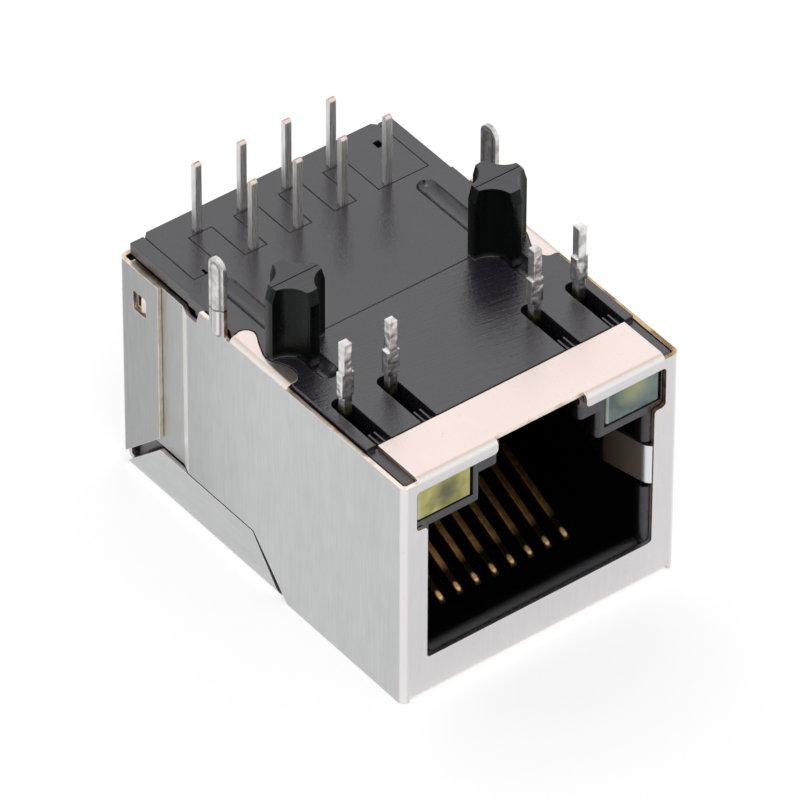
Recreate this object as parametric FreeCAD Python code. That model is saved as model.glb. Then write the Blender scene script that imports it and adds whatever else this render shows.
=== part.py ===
import FreeCAD, Part
import math
import os
from FreeCAD import Vector

# Shielded eight-way board jack with two indicator lamps, standing on the cover of its shield.
# +Z points to the circuit board and -Y out of the plug opening.  Lengths are millimetres.
# Stations along Y count from the front face of the shield.  Every finished piece is moved
# forward by half the depth, so that the origin lies under the middle of the shield.

# Sheet of the shield
SHEET = 0.22
BEND_R = 0.36             # outer radius of a fold
LAP_GAP = 0.02            # between two layers of sheet that lie on each other
WALL_GAP = 0.08           # side wall to housing
BED_GAP = 0.02            # sheet to the recess it lies in

# Plug cavity and latch slot, which the rest is built around
CAVITY_HALF = 6.00
CAVITY_FLOOR = 2.20
CAVITY_HEIGHT = 7.65
CAVITY_DEPTH = 13.80
CAVITY_ROOF = CAVITY_FLOOR + CAVITY_HEIGHT
LEAD_IN_SIDE = 0.42
FLOOR_EDGE_R = 0.90       # rounded front edges of the plastic
WALL_EDGE_R = 0.36
SLOT_EDGE_R = 0.25
LATCH_WIDE_HALF = 3.28
LATCH_WIDE_RISE = 1.60
LATCH_NARROW_HALF = 2.28
LATCH_NARROW_RISE = 2.50
LATCH_DEPTH = 9.50
LATCH_WIDE_TOP = CAVITY_ROOF + LATCH_WIDE_RISE
LATCH_NARROW_TOP = CAVITY_ROOF + LATCH_NARROW_RISE
COMB_DEPTH = 2.20         # comb that keeps the ends of the contacts apart
COMB_DROP = 2.25
COMB_FRONT = CAVITY_DEPTH - COMB_DEPTH
COMB_TOP = CAVITY_ROOF - COMB_DROP

# Levels of the board side
ROOF_WALL = 0.70          # plastic above the latch slot
BAND_DROP = 0.03
SHOULDER_DROP = 0.05
WALL_DROP = 0.25
REAR_DROP = 0.80
SEAT = LATCH_NARROW_TOP + ROOF_WALL     # plane that touches the circuit board
BAND_TOP = SEAT - BAND_DROP
SHOULDER_TOP = SEAT - SHOULDER_DROP
WALL_TOP = SEAT - WALL_DROP
REAR_TOP = SEAT - REAR_DROP
SHEET_BED = BAND_TOP - SHEET - BED_GAP

# Front of the shield: port, lamp windows and latch notch
RIM = 1.38                # beside the port
LAMP_RIM = 0.76           # beside the lamp windows
PORT_SILL = 0.02
PORT_HEAD = 0.15
PORT_CORNER_R = 0.22
LAMP_WINDOW_DROP = 0.77
LATCH_NOTCH_HALF = 2.50
PORT_HALF = CAVITY_HALF + LEAD_IN_SIDE
PORT_LOW = CAVITY_FLOOR - PORT_SILL
PORT_HIGH = CAVITY_ROOF + PORT_HEAD
SHIELD_W = 2 * (PORT_HALF + RIM)
LAMP_WINDOW_HALF = SHIELD_W / 2 - LAMP_RIM
LAMP_WINDOW_TOP = SEAT - LAMP_WINDOW_DROP

# Band folded over the board side at the front
BAND_INSET = 0.85         # from the side of the shield to the end of the band
BAND_REAR = 2.95
BAND_HALF = SHIELD_W / 2 - BAND_INSET

# Side walls and rear of the shield
SHIELD_D = 21.20
TUCK_BACK = 5.20          # the side walls step inward this far from the rear
TUCK_RUN = 0.62
TUCK_SHORT = 0.65
FLAP_REACH = 2.98         # side flaps of the rear wall
FLAP_LIFT = 0.70          # above the flange of the cover
FLAP_FOOT = 0.80
FLANGE_FRONT = 9.10       # side flanges of the cover, in one plane with the side walls
FLANGE_RUN = 2.10
FLANGE_TOP = 2.60
SEAM = 0.10               # slit between flange and side wall
SEAM_MOUTH = 0.52         # the same slit at the front end of the flange
LATCH_BACK = 1.10         # window in each flap
LATCH_W = 0.98
LATCH_DROP = 1.32
LATCH_H = 1.10
TUCK_Y = SHIELD_D - TUCK_BACK
TUCK_END = SHIELD_D - TUCK_SHORT
FLAP_FRONT = SHIELD_D - FLAP_REACH
FLAP_LOW = FLANGE_TOP + FLAP_LIFT
LATCH_Y = (SHIELD_D - LATCH_BACK - LATCH_W, SHIELD_D - LATCH_BACK)
LATCH_Z = (REAR_TOP - LATCH_DROP - LATCH_H, REAR_TOP - LATCH_DROP)

# Posts that locate the jack on the board, and the grooves along them
POST_SPACING = 11.43
POST_Y = 10.65
POST_R = 1.50
POST_LENGTH = 3.95
POST_CHAMFER = (0.20, 0.70)
FLUTE_INSET = 0.05
FLUTE_R = 1.18
POST_TOP = SEAT + POST_LENGTH
FLUTE_CENTRE = POST_R - FLUTE_INSET
PARTING_W = 0.06          # fine groove where the two halves of the mould met
PARTING_DEPTH = 0.05

# Solder tabs and the flanges folded in beside the posts
TAB_BEHIND_POST = 3.10
TAB_W = 1.08
TAB_LENGTH = 3.91
TAB_BEAD = 0.12
TAB_BEAD_HALF = 0.34
TAB_BEAD_SINK = 0.30
TAB_NOTCH = 0.12
TAB_ROOT_R = 0.14
SHOULDER_BEHIND_TAB = 1.30
LIP_BEFORE_POST = 2.05
LIP_BEHIND_POST = 2.15
LIP_EDGE = [              # inner edge of the flange: station from the post, depth from the side
    (-1.88, 0.82),
    (-1.50, 0.95),
    (-1.04, 0.89),
    (-0.55, 0.66),
    (0.00, 0.45),
    (0.60, 0.62),
    (1.15, 0.86),
    (1.52, 1.05),
    (1.82, 1.10),
    (2.06, 0.98),
]
LIP_START = 0.40
TAB_Y = POST_Y + TAB_BEHIND_POST
TAB_TOP = SEAT + TAB_LENGTH
SHOULDER_REAR = TAB_Y + SHOULDER_BEHIND_TAB
LIP_Y = (POST_Y - LIP_BEFORE_POST, POST_Y + LIP_BEHIND_POST)

# Ground springs at the sides of the port
SPRING_LIFT = 3.45
SPRING_H = 2.20
SPRING_R = 0.55
SPRING_Z = (CAVITY_FLOOR + SPRING_LIFT, CAVITY_FLOOR + SPRING_LIFT + SPRING_H)
SPRING_CREST = (CAVITY_HALF - 0.24, 2.70)
SPRING_TIP = (CAVITY_HALF + 0.16, 4.40)

# Housing
FACE_GAP = 0.03           # housing to the front face and the cover
FRONT_BEVEL = 0.12        # clears the inside of the folds
REAR_GAP = 0.21
ARM_INSET = 0.40          # beside the tucked shield walls
ARM_LEAD = 0.25
LEDGE_INSET = 0.08
LEDGE_H = 0.60
HOUSING_FRONT = SHEET + FACE_GAP
HOUSING_BASE = SHEET + FACE_GAP
HOUSING_HALF = SHIELD_W / 2 - SHEET - WALL_GAP
HOUSING_REAR = SHIELD_D - SHEET - REAR_GAP
ARM_HALF = HOUSING_HALF - ARM_INSET
ARM_FRONT = TUCK_Y - ARM_LEAD
LEDGE_HALF = HOUSING_HALF - LEDGE_INSET
LEDGE_LOW = SEAT - LEDGE_H

# Contacts
CONTACTS = 8
CONTACT_PITCH = 1.016
PIN_PITCH = 1.27
PIN_W = 0.34
PIN_T = 0.32
PIN_BEVEL = 0.11
PIN_LENGTH = 3.93
PIN_BACK = 1.50           # from the rear face of the shield to the rear row
ROW_GAP = 2.54
RUN_DROP = 0.76           # contacts lie flat this far under the floor of the cavity
NOSE_Y = 2.60
NOSE_R = 0.38
ARM_SLOPE = 0.48
ARM_SHORT = 1.20          # the arms end this far before the end of the cavity
FAN_RUN = 2.80            # contacts spread from contact pitch to pin pitch along this run
FAN_BACK = 4.30
LEG_R = 0.40
PIN_TIP = SEAT + PIN_LENGTH
REAR_ROW = SHIELD_D - PIN_BACK
RUN_Z = CAVITY_FLOOR - RUN_DROP
NOSE_Z = RUN_Z + 0.011 + NOSE_R * (1 + math.tan((math.pi / 2 - math.atan(ARM_SLOPE)) / 2))
ARM_END = CAVITY_DEPTH - ARM_SHORT
FAN_Y = (REAR_ROW - FAN_BACK - FAN_RUN, REAR_ROW - FAN_BACK)

# Contact carrier
FIT = 0.05                # plastic to plastic
CARRIER_INSET = 0.46      # arm of the housing beside the carrier
CARRIER_LEAD = 0.18       # in front of the front row of pins
CARRIER_BASE = 0.62
TONGUE_MARGIN = 0.08
TONGUE_FRONT = 3.25
TONGUE_LIP = 0.06
TOOTH_HALF = 0.62         # housing teeth that close in the rear row of pins
TOOTH_TIP = 0.11          # short of the front of the rear row of pins
TOOTH_RISE = 0.15         # above the flat run of the contacts
SNAP_LEAD = 0.92
SNAP_W = 1.40
SNAP_Z = (6.00, 7.00)
SNAP_OUT = 0.20
MARK_INSET = 0.67         # square mark at one rear corner
MARK_SIZE = 0.37
NICK_INSET = 0.62         # nick in the front edge, at the other side
NICK_W = 0.16
CARRIER_HALF = ARM_HALF - CARRIER_INSET
CARRIER_FRONT = REAR_ROW - ROW_GAP - CARRIER_LEAD
CARRIER_REAR = SHIELD_D - SHEET - FACE_GAP
TONGUE_HALF = (CONTACTS - 1) / 2 * PIN_PITCH + PIN_W / 2 + TONGUE_MARGIN
TONGUE_TOP = RUN_Z + TONGUE_LIP
SNAP_Y = (CARRIER_FRONT + SNAP_LEAD, CARRIER_FRONT + SNAP_LEAD + SNAP_W)
GROOVE_AHEAD = 2.35       # grooves run from before the posts to before the carrier
GROOVE_STOP = 1.18
GROOVE_R = 0.55
GROOVE_DEPTH = 0.35
GROOVE_Y = (POST_Y - GROOVE_AHEAD, CARRIER_FRONT - GROOVE_STOP)

# Indicator lamps
LEAD_PITCH = 2.54
LEAD_W = 0.44
LEAD_T = 0.42
LEAD_MARGIN = 0.01
LAMP_MARGIN = 0.21        # lamp window to lamp
LAMP_H = 1.94
LAMP_D = 3.29
LAMP_EDGE_R = 0.12
LAMP_GAP = 0.06
LEAD_Y = 5.80
LEAD_RISE = 0.96          # above the lamp's lower side
LEAD_LENGTH = 3.95
LEAD_BUMP = 0.11          # wider stretch left by the trimmed tie bar
LEAD_BUMP_RANGE = (0.80, 2.15)
TRENCH_HALF = 0.43
TRENCH_AHEAD = 0.35
TRENCH_BEHIND = 0.32
TRENCH_DROP = 0.35
LAMP_W = LEAD_PITCH + LEAD_W + 2 * LEAD_MARGIN
LAMP_X = LAMP_WINDOW_HALF - LAMP_MARGIN - LAMP_W / 2
LAMP_Y = (HOUSING_FRONT + 0.01, HOUSING_FRONT + 0.01 + LAMP_D)
LAMP_Z = (LAMP_WINDOW_TOP - LAMP_H, LAMP_WINDOW_TOP)
LEAD_Z = LAMP_Z[0] + LEAD_RISE
LEAD_TIP = SEAT + LEAD_LENGTH
LEAD_BUMP_Z = (SEAT + LEAD_BUMP_RANGE[0], SEAT + LEAD_BUMP_RANGE[1])
TRENCH_Y = (LAMP_Y[1] + TRENCH_AHEAD, LEAD_Y + TRENCH_BEHIND)
TRENCH_FLOOR = LEAD_Z - TRENCH_DROP

PIN_X = [(i - (CONTACTS - 1) / 2) * PIN_PITCH for i in range(CONTACTS)]
CONTACT_X = [(i - (CONTACTS - 1) / 2) * CONTACT_PITCH for i in range(CONTACTS)]
PIN_Y = [REAR_ROW - (i % 2) * ROW_GAP for i in range(CONTACTS)]
LEAD_X = [LAMP_X + side * LEAD_PITCH / 2 for side in (-1, 1)]


def box(x0, x1, y0, y1, z0, z1):
    """Block between two corners."""
    return Part.makeBox(x1 - x0, y1 - y0, z1 - z0, Vector(x0, y0, z0))


def mirrored(shape):
    """The same shape on the other side of the middle plane."""
    return shape.mirror(Vector(0, 0, 0), Vector(1, 0, 0))


def pair(shape):
    """A shape and its mirror image."""
    return [shape, mirrored(shape)]


def lift(axis, at, u, v):
    """Point of the plane across an axis: u and v are the other two coordinates in XYZ order."""
    if axis == "x":
        return Vector(at, u, v)
    if axis == "y":
        return Vector(u, at, v)
    return Vector(u, v, at)


def along(axis, length):
    return lift(axis, length, 0, 0)


def prism(axis, outline, start, end):
    """Polygon across an axis, extruded from start to end."""
    corners = [lift(axis, start, u, v) for u, v in outline]
    face = Part.Face(Part.makePolygon(corners + corners[:1]))
    return face.extrude(along(axis, end - start))


def rod(axis, u, v, radius, start, end):
    """Cylinder along an axis."""
    return Part.makeCylinder(radius, end - start, lift(axis, start, u, v), along(axis, 1))


def offset_path(path, bend, offset):
    """Lines and arcs beside a bent path, as point pairs and point triples in the plane.

    A positive offset lies to the left of the direction of travel.
    """
    points = [Vector(u, v, 0) for u, v in path]
    runs = [(b - a).normalize() for a, b in zip(points, points[1:])]
    normals = [Vector(-run.y, run.x, 0) for run in runs]
    pieces = []
    here = points[0] + normals[0] * offset
    for i in range(1, len(points) - 1):
        turn = math.atan2(runs[i - 1].cross(runs[i]).z, runs[i - 1].dot(runs[i]))
        setback = bend * math.tan(abs(turn) / 2)
        side = math.copysign(1, turn)
        centre = points[i] - runs[i - 1] * setback + normals[i - 1] * side * bend
        outward = (points[i] - centre).normalize()
        first = points[i] - runs[i - 1] * setback + normals[i - 1] * offset
        last = points[i] + runs[i] * setback + normals[i] * offset
        if (first - here).Length > 1e-6:
            pieces.append((here, first))
        pieces.append((first, centre + outward * (bend - side * offset), last))
        here = last
    pieces.append((here, points[-1] + normals[-1] * offset))
    return pieces


def strip(axis, path, bend, thickness, start, end):
    """Sheet or wire of even thickness bent along a path, as wide as start to end.

    The path runs through the middle of the thickness and every inner point of it is a bend
    with the given radius.
    """
    left = offset_path(path, bend, thickness / 2)
    right = offset_path(path, bend, -thickness / 2)
    loop = left + [(left[-1][-1], right[-1][-1])]
    loop += [piece[::-1] for piece in reversed(right)] + [(right[0][0], left[0][0])]
    edges = []
    for piece in loop:
        corners = [lift(axis, start, p.x, p.y) for p in piece]
        if len(corners) == 2:
            edges.append(Part.makeLine(*corners))
        else:
            edges.append(Part.Arc(*corners).toShape())
    return Part.Face(Part.Wire(edges)).extrude(along(axis, end - start))


def join(shapes):
    """One solid from touching or overlapping shapes."""
    return shapes[0].fuse(shapes[1:]).removeSplitter()


def edges_along(shape, axis):
    """Straight edges of a shape that run along an axis."""
    direction = along(axis, 1)
    found = []
    for edge in shape.Edges:
        if len(edge.Vertexes) == 2:
            run = edge.Vertexes[1].Point - edge.Vertexes[0].Point
            if run.Length > 1e-6 and abs(abs(run.normalize().dot(direction)) - 1) < 1e-6:
                found.append(edge)
    return found


def pointed(shape, tip, bevel):
    """A pin with the edges of its free end bevelled."""
    rim = [e for e in shape.Edges if all(abs(v.Z - tip) < 1e-6 for v in e.Vertexes)]
    return shape.makeChamfer(bevel, rim)


def port_outline():
    """Window through the front of the shield: port, lamp windows and the latch notch."""
    right = [
        (PORT_HALF, PORT_LOW),
        (PORT_HALF, PORT_HIGH),
        (LAMP_WINDOW_HALF, PORT_HIGH),
        (LAMP_WINDOW_HALF, LAMP_WINDOW_TOP),
        (LATCH_NOTCH_HALF, LAMP_WINDOW_TOP),
        (LATCH_NOTCH_HALF, BAND_TOP + 1),
    ]
    window = prism("y", right + [(-x, z) for x, z in reversed(right)], -1, 0.30)
    return window.makeFillet(PORT_CORNER_R, edges_along(window, "y"))


def side_wall_profile():
    """Outline of the side walls in the YZ plane, solder tab included."""
    tab_front = TAB_Y - TAB_W / 2
    tab_rear = TAB_Y + TAB_W / 2
    tab_straight = TAB_TOP - TAB_W / 2
    outline = [
        (-1, 0),
        (FLANGE_FRONT - SEAM_MOUTH, 0),
        (FLANGE_FRONT + FLANGE_RUN - SEAM, FLANGE_TOP + SEAM),
        (SHIELD_D, FLANGE_TOP + SEAM),
        (SHIELD_D, REAR_TOP - 0.03),
        (SHOULDER_REAR + 0.25, REAR_TOP - 0.10),
        (SHOULDER_REAR, SHOULDER_TOP),
        (tab_rear, SHOULDER_TOP),
        (tab_rear, tab_straight),
        (tab_front, tab_straight),
        (tab_front, WALL_TOP - TAB_NOTCH),
        (LIP_Y[1], WALL_TOP - TAB_NOTCH),
        (LIP_Y[1], WALL_TOP),
        (-1, WALL_TOP),
    ]
    wall = prism("x", outline, -SHIELD_W, SHIELD_W)
    corners = [(edge, edge.Vertexes[0]) for edge in edges_along(wall, "x")]
    roots = [edge for edge, end in corners if abs(abs(end.Y - TAB_Y) - TAB_W / 2) < 1e-6 and end.Z < SEAT]
    tip = rod("x", TAB_Y, tab_straight, TAB_W / 2, -SHIELD_W, SHIELD_W)
    return join([wall.makeFillet(TAB_ROOT_R, roots), tip])


def lip_outline(margin, low, high):
    """Block in the outline of the right folded flange, larger by a margin."""
    edge = [(SHIELD_W / 2 - depth - margin, POST_Y + at) for at, depth in LIP_EDGE]
    start_x = SHIELD_W / 2 - LIP_START - margin
    inner = [(start_x, LIP_Y[0] - margin)] + edge + [(start_x, LIP_Y[1] + margin)]
    curve = Part.BSplineCurve()
    curve.interpolate([Vector(x, y, low) for x, y in inner])
    corners = [inner[-1], (SHIELD_W, inner[-1][1]), (SHIELD_W, inner[0][1]), inner[0]]
    rest = Part.makePolygon([Vector(x, y, low) for x, y in corners])
    return Part.Face(Part.Wire([curve.toShape()] + rest.Edges)).extrude(Vector(0, 0, high - low))


def folded_lip():
    """Flange folded in from the top of the right wall, curved around the rib of the post."""
    wall_x = (SHIELD_W - SHEET) / 2
    level = BAND_TOP - SHEET / 2
    path = [(wall_x, WALL_TOP - 1), (wall_x, level), (wall_x - 2, level)]
    lip = strip("y", path, BEND_R - SHEET / 2, SHEET, LIP_Y[0] - 0.1, LIP_Y[1] + 0.1)
    return lip.common(lip_outline(0, 0, SEAT + 1))


def rear_flap():
    """Right flap of the rear wall, lapped over the tucked end of the side wall."""
    wall_x = (SHIELD_W - SHEET) / 2
    rear_y = SHIELD_D - SHEET / 2
    path = [(wall_x - 1, rear_y), (wall_x, rear_y), (wall_x, FLAP_FRONT)]
    flap = strip("z", path, BEND_R - SHEET / 2, SHEET, 0, REAR_TOP)
    outline = [
        (FLAP_FRONT, FLAP_LOW),
        (SHIELD_D - BEND_R, FLAP_FOOT),
        (SHIELD_D, FLAP_FOOT),
        (SHIELD_D, REAR_TOP),
        (FLAP_FRONT, REAR_TOP),
    ]
    window = box(wall_x - 0.12, SHIELD_W, *LATCH_Y, *LATCH_Z)
    window = window.makeFillet(0.1, edges_along(window, "x"))
    return flap.common(prism("x", outline, 0, SHIELD_W)).cut(window)


def cover_flange():
    """Right flange of the cover, folded up in the plane of the side wall, with slanted ends."""
    wall_x = (SHIELD_W - SHEET) / 2
    path = [(wall_x - 1, SHEET / 2), (wall_x, SHEET / 2), (wall_x, FLANGE_TOP)]
    rear = SHIELD_D - BEND_R - 0.05
    flange = strip("y", path, BEND_R - SHEET / 2, SHEET, FLANGE_FRONT, rear)
    outline = [
        (FLANGE_FRONT, 0),
        (FLANGE_FRONT + FLANGE_RUN, FLANGE_TOP),
        (FLAP_FRONT, FLANGE_TOP),
        (rear, 0.20),
        (rear, 0),
    ]
    return flange.common(prism("x", outline, 0, SHIELD_W))


def ground_spring():
    """Right spring tongue, folded back from the edge of the port into the cavity."""
    path = [(PORT_HALF + 0.6, SHEET / 2), (PORT_HALF - 0.08, SHEET / 2), SPRING_CREST, SPRING_TIP]
    return strip("z", path, SPRING_R, SHEET, *SPRING_Z)


def tab_bead(inner):
    """Stiffening bead pressed outward along the right solder tab, or its hollow inner side."""
    radius = (TAB_BEAD_HALF ** 2 + TAB_BEAD ** 2) / (2 * TAB_BEAD)
    centre_x = SHIELD_W / 2 + TAB_BEAD - radius
    low = WALL_TOP - TAB_BEAD_SINK + TAB_BEAD_HALF
    high = TAB_TOP - TAB_W / 2
    start = SHIELD_W / 2 - SHEET / 2
    if inner:
        radius -= SHEET
        start -= SHEET
    body = join([rod("z", centre_x, TAB_Y, radius, low, high)]
                + [Part.makeSphere(radius, Vector(centre_x, TAB_Y, z)) for z in (low, high)])
    return body.common(box(start, SHIELD_W, 0, SHIELD_D, 0, TAB_TOP))


def shield():
    """The folded sheet: front, side walls, band, cover, rear wall, flaps, flanges and tabs."""
    mid = SHEET / 2
    wall_x = SHIELD_W / 2 - mid
    tucked_x = wall_x - SHEET - LAP_GAP
    bend = BEND_R - mid
    fold_half = SHIELD_W / 2 - BEND_R - 0.04
    right = [(wall_x, mid), (wall_x, TUCK_Y), (tucked_x, TUCK_Y + TUCK_RUN), (tucked_x, TUCK_END)]
    path = [(-x, y) for x, y in reversed(right)] + right
    sides = strip("z", path, bend, SHEET, 0, TAB_TOP).common(side_wall_profile())
    sides = sides.cut(port_outline())
    sides = sides.cut(box(-BAND_HALF, BAND_HALF, -1, 1, LAMP_WINDOW_TOP + 0.1, TAB_TOP))
    sides = sides.cut(box(-fold_half, fold_half, -1, 1, -1, 0.9))

    band_path = [(mid, LAMP_WINDOW_TOP), (mid, BAND_TOP - mid), (BAND_REAR, BAND_TOP - mid)]
    band = strip("x", band_path, bend, SHEET, -BAND_HALF, BAND_HALF).cut(port_outline())

    wrap_path = [(mid, 0.9), (mid, mid), (SHIELD_D - mid, mid), (SHIELD_D - mid, REAR_TOP)]
    wrap = strip("x", wrap_path, bend, SHEET, -fold_half, fold_half)
    edge = box(fold_half, SHIELD_W / 2 - SHEET - LAP_GAP, BEND_R + 0.1, SHIELD_D - 0.5, 0, SHEET)

    body = join([sides, band, wrap] + pair(edge) + pair(folded_lip()) + pair(rear_flap())
                + pair(cover_flange()) + pair(ground_spring()) + pair(tab_bead(False)))
    body = body.cut(pair(tab_bead(True)))

    lance_y = (LATCH_Y[0] - 0.06, LATCH_Y[0] + 0.42)
    lance_z = (LATCH_Z[0] + 0.12, LATCH_Z[1] - 0.12)
    slit = box(tucked_x - SHEET, tucked_x + SHEET, lance_y[1], LATCH_Y[1] - 0.06, *lance_z)
    lance_outline = [
        (tucked_x - mid, lance_y[0]),
        (tucked_x + mid, lance_y[0]),
        (wall_x + 0.05, lance_y[1]),
        (wall_x - 0.13, lance_y[1] + 0.08),
    ]
    lance = prism("z", lance_outline, *lance_z)
    return join([body.cut(pair(slit))] + pair(lance))


def contact_run(i, width, low, high, front, rear):
    """Flat stretch of a contact under the cavity, fanned out from contact pitch to pin pitch."""
    half = width / 2
    near = CONTACT_X[i]
    far = PIN_X[i]
    outline = [
        (near - half, front),
        (near + half, front),
        (near + half, FAN_Y[0]),
        (far + half, FAN_Y[1]),
        (far + half, rear),
        (far - half, rear),
        (far - half, FAN_Y[1]),
        (near - half, FAN_Y[0]),
    ]
    return prism("z", outline, low, high)


def contact(i):
    """One contact: spring arm, rounded nose, flat run under the cavity, and a pin with a sheared tip."""
    half = PIN_W / 2
    arm_end_z = NOSE_Z + ARM_SLOPE * (ARM_END - NOSE_Y)
    arm_path = [(ARM_END, arm_end_z), (NOSE_Y, NOSE_Z), (NOSE_Y, RUN_Z), (FAN_Y[0], RUN_Z)]
    arm = strip("x", arm_path, NOSE_R, PIN_T, CONTACT_X[i] - half, CONTACT_X[i] + half)
    leg_path = [(FAN_Y[1], RUN_Z), (PIN_Y[i], RUN_Z), (PIN_Y[i], PIN_TIP)]
    leg = strip("x", leg_path, LEG_R, PIN_T, PIN_X[i] - half, PIN_X[i] + half)
    fan = contact_run(i, PIN_W, RUN_Z - PIN_T / 2, RUN_Z + PIN_T / 2, FAN_Y[0] - 0.1, FAN_Y[1] + 0.1)
    tip = [edge for edge in edges_along(leg, "x") if abs(edge.Vertexes[0].Z - PIN_TIP) < 1e-6]
    return join([arm, fan, leg.makeChamfer(PIN_BEVEL, tip)])


def carrier():
    """Rear moulding that holds the contacts: comb block, and a grooved tongue under the cavity."""
    body = box(-CARRIER_HALF, CARRIER_HALF, CARRIER_FRONT, CARRIER_REAR, CARRIER_BASE, SEAT)
    body = body.makeChamfer(0.25, [e for e in edges_along(body, "z") if e.Vertexes[0].Y > CARRIER_FRONT + 1])
    tongue = box(-TONGUE_HALF, TONGUE_HALF, TONGUE_FRONT, CARRIER_FRONT, CARRIER_BASE, TONGUE_TOP)
    snap_outline = [
        (CARRIER_HALF, SNAP_Z[0]),
        (CARRIER_HALF + SNAP_OUT, SNAP_Z[0]),
        (CARRIER_HALF, SNAP_Z[1]),
    ]
    body = join([body, tongue] + pair(prism("y", snap_outline, *SNAP_Y)))
    bed = RUN_Z - PIN_T / 2
    cuts = []
    for i in range(CONTACTS):
        slot_w = PIN_W + 0.02
        groove_front = CARRIER_FRONT - 1
        if i % 2 == 0:
            groove_front = REAR_ROW - PIN_T / 2 - TOOTH_TIP + FIT
            half = TOOTH_HALF + FIT
            cuts.append(box(PIN_X[i] - half, PIN_X[i] + half, CARRIER_FRONT - 1, groove_front, bed, SEAT + 1))
        cuts.append(box(PIN_X[i] - slot_w / 2, PIN_X[i] + slot_w / 2, groove_front, PIN_Y[i] + PIN_T / 2,
                        bed, SEAT + 1))
        cuts.append(contact_run(i, slot_w, bed, TONGUE_TOP + 1, TONGUE_FRONT - 1, CARRIER_FRONT))
    mark_x = CARRIER_HALF - MARK_INSET
    mark = box(mark_x - MARK_SIZE, mark_x, REAR_ROW - MARK_SIZE, REAR_ROW + 0.1, SEAT - 1.2, SEAT + 1)
    nick_x = NICK_INSET - CARRIER_HALF
    nick = box(nick_x, nick_x + NICK_W, CARRIER_FRONT - 1, CARRIER_FRONT + 0.32, SEAT - 1.0, SEAT + 1)
    return body.cut(cuts + [mark, nick])


def post():
    """Right locating post: a round pin with four concave flutes and tapered rib ends."""
    x = POST_SPACING / 2
    inset, height = POST_CHAMFER
    base = SEAT - WALL_DROP
    body = Part.makeCylinder(POST_R, POST_TOP - height - base, Vector(x, POST_Y, base))
    taper = Part.makeCone(POST_R, POST_R - inset, height, Vector(x, POST_Y, POST_TOP - height))
    flutes = []
    for side_x in (-1, 1):
        for side_y in (-1, 1):
            flutes.append(rod("z", x + side_x * FLUTE_CENTRE, POST_Y + side_y * FLUTE_CENTRE, FLUTE_R,
                              SHEET_BED, POST_TOP + 1))
    return join([body, taper]).cut(flutes)


def post_groove():
    """Round-bottomed groove with round ends, along the line of the right post."""
    x = POST_SPACING / 2
    z = SEAT + GROOVE_R - GROOVE_DEPTH
    ends = [Part.makeSphere(GROOVE_R, Vector(x, y, z)) for y in GROOVE_Y]
    return join([rod("y", x, z, GROOVE_R, *GROOVE_Y)] + ends)


def round_over(axis, u, v, radius, way_u, way_v, start, end):
    """What a rounding takes off a square edge along an axis; the ways point into the plastic."""
    far_u = u + way_u * radius
    far_v = v + way_v * radius
    corner = prism(axis, [(u, v), (far_u, v), (far_u, far_v), (u, far_v)], start, end)
    return corner.cut(rod(axis, far_u, far_v, radius, start, end))


def parting_line(level):
    """Fine groove across the housing, through the middle of the posts."""
    half = PARTING_W / 2
    return box(-SHIELD_W, SHIELD_W, POST_Y - half, POST_Y + half, level - PARTING_DEPTH, level + 1)


def lamp_cuts(x):
    """Trench, tunnel and ramp of the lamp lead at x, open to the board side."""
    trench = box(x - TRENCH_HALF, x + TRENCH_HALF, *TRENCH_Y, TRENCH_FLOOR, SEAT + 1)
    round_end = rod("z", x, TRENCH_Y[1], TRENCH_HALF, TRENCH_FLOOR, SEAT + 1)
    tunnel = box(x - LEAD_W / 2 - 0.05, x + LEAD_W / 2 + 0.05, LAMP_Y[1], TRENCH_Y[0] + 0.1,
                 TRENCH_FLOOR, LEAD_Z + LEAD_T / 2 + 0.1)
    slope = [
        (BAND_REAR - 0.1, SEAT - 0.24),
        (TRENCH_Y[0], SEAT - 0.55),
        (TRENCH_Y[0], SEAT + 1),
        (BAND_REAR - 0.1, SEAT + 1),
    ]
    ramp = prism("x", slope, x - TRENCH_HALF, x + TRENCH_HALF)
    ribs = [box(x + at - 0.05, x + at + 0.05, BAND_REAR - 0.2, TRENCH_Y[0], 0, SEAT - 0.16) for at in (-0.16, 0.16)]
    return [trench, round_end, tunnel, ramp.cut(ribs)]


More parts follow.
